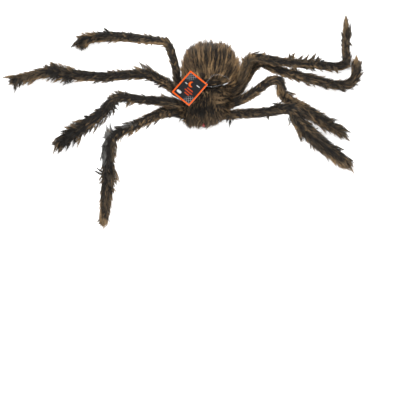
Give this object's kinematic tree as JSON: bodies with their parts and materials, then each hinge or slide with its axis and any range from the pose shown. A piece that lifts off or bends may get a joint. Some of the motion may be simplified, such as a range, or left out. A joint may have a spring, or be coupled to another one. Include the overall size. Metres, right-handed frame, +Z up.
{
  "type": "posable furry toy spider",
  "caption": "Soft toy spider of brown faux fur: stuffed abdomen and head, wire-cored legs bent as for standing, red bead eyes, and a card hang tag on a clear loop.",
  "frame": {"origin": "on the surface it stands on, under the middle of the abdomen, in the flat of the belly", "axes": "+X to the toy's right-hand side as seen from the front and above, along its widest spread, +Y to the rear, from the head to the abdomen, +Z up"},
  "size_m": [0.8071, 0.5267, 0.1449],
  "materials": {
    "abdomen_fur": "long brown faux fur with golden strands, swept to the rear",
    "head_fur": "dark brown faux fur, swept forward",
    "leg_fur": "short brown faux fur, lying along the legs towards their ends",
    "eye_plastic": "glossy red",
    "tag_card": "printed card, satin varnish, orange edge and dark ground",
    "tag_loop": "clear nylon"
  },
  "bodies": {
    "root": {"abdomen": "abdomen_fur", "head": "head_fur", "leg_left_1": "leg_fur", "leg_left_2": "leg_fur", "leg_left_3": "leg_fur", "leg_left_4": "leg_fur", "leg_right_1": "leg_fur", "leg_right_2": "leg_fur", "leg_right_3": "leg_fur", "leg_right_4": "leg_fur", "eye_left": "eye_plastic", "eye_right": "eye_plastic", "tag_card": "tag_card", "tag_loop": "tag_loop"}
  },
  "joints": []
}
